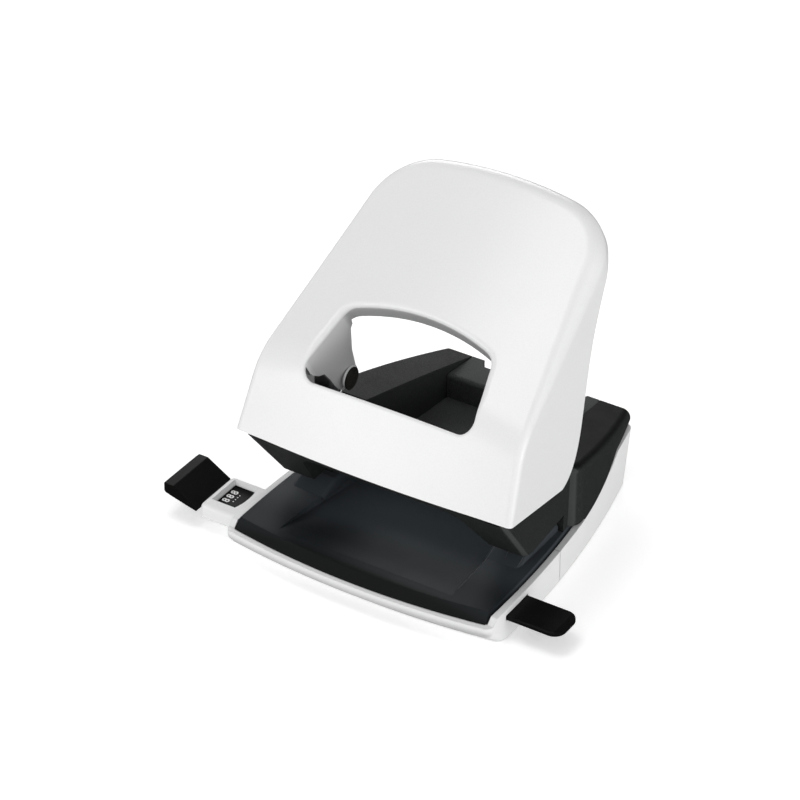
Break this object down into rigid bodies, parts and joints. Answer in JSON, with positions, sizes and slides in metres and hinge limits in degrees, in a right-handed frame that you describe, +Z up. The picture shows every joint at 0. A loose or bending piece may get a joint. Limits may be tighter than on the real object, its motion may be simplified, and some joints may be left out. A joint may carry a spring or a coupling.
{
  "type": "two-hole paper punch",
  "caption": "Desk punch with a broad windowed lever handle over a twin-tower chassis, sliding paper guide bar and hinged chip tray.",
  "frame": {"origin": "on the table under the middle of the punch, on its plane of symmetry", "axes": "+X to the right along the pair of punch pins, +Y away from the user, +Z up"},
  "size_m": [0.1625, 0.1271, 0.1254],
  "materials": {
    "white_enamel": "satin white enamel on pressed steel",
    "white_moulding": "satin white plastic",
    "charcoal_cast": "fine textured charcoal paint",
    "charcoal_moulding": "fine grained charcoal plastic",
    "charcoal_sheet": "satin charcoal paint on sheet",
    "black_moulding": "black plastic",
    "steel": "plain steel",
    "hard_steel": "ground tool steel",
    "spring_steel": "spring wire",
    "dark_steel": "blackened steel",
    "pad_rubber": "soft pad"
  },
  "bodies": {
    "chassis": {"chassis_frame": "charcoal_cast", "rear_well": "charcoal_moulding", "base_plate": "charcoal_sheet", "front_base": "white_moulding", "handle_hinge_rod": "steel", "bar_click_spring": "spring_steel", "base_screws": "steel", "plate_screws": "steel", "front_feet": "pad_rubber", "punch_guide_left": "dark_steel", "punch_guide_right": "dark_steel", "tray_hinge_pin_left": "steel", "tray_hinge_pin_right": "steel", "punch_spring_left": "spring_steel", "punch_spring_right": "spring_steel"},
    "handle": {"handle_shell": "white_enamel", "cross_pin_left": "dark_steel", "cross_pin_right": "dark_steel"},
    "punch_left": {"punch_left": "hard_steel", "spring_washer_left": "steel"},
    "punch_right": {"punch_right": "hard_steel", "spring_washer_right": "steel"},
    "guide_bar": {"guide_bar": "black_moulding"},
    "chip_tray": {"chip_tray": "white_moulding", "tray_mat": "pad_rubber"}
  },
  "joints": [
    {"name": "handle_hinge", "type": "hinge", "parent": "chassis", "child": "handle", "pos_m": [0, -0.019, 0.045], "axis": [-1, 0, 0], "range_deg": [0, 16.5], "stiffness_Nm_per_rad": 2, "springref_deg": -20.05},
    {"name": "punch_slide_left", "type": "slide", "parent": "chassis", "child": "punch_left", "axis": [0, 0, -1], "range_m": [0, 0.0078], "deforming": ["punch_spring_left"]},
    {"name": "punch_slide_right", "type": "slide", "parent": "chassis", "child": "punch_right", "axis": [0, 0, -1], "range_m": [0, 0.0078], "deforming": ["punch_spring_right"]},
    {"name": "guide_bar_slide", "type": "slide", "parent": "chassis", "child": "guide_bar", "axis": [-1, 0, 0], "range_m": [0, 0.08]},
    {"name": "chip_tray_hinge", "type": "hinge", "parent": "chassis", "child": "chip_tray", "pos_m": [0, -0.005, 0.0032], "axis": [-1, 0, 0], "range_deg": [0, 60]}
  ],
  "couplings": [
    {"joint": "punch_slide_left", "follows": "handle_hinge", "m_per_rad": 0.02677},
    {"joint": "punch_slide_right", "follows": "handle_hinge", "m_per_rad": 0.02677}
  ]
}
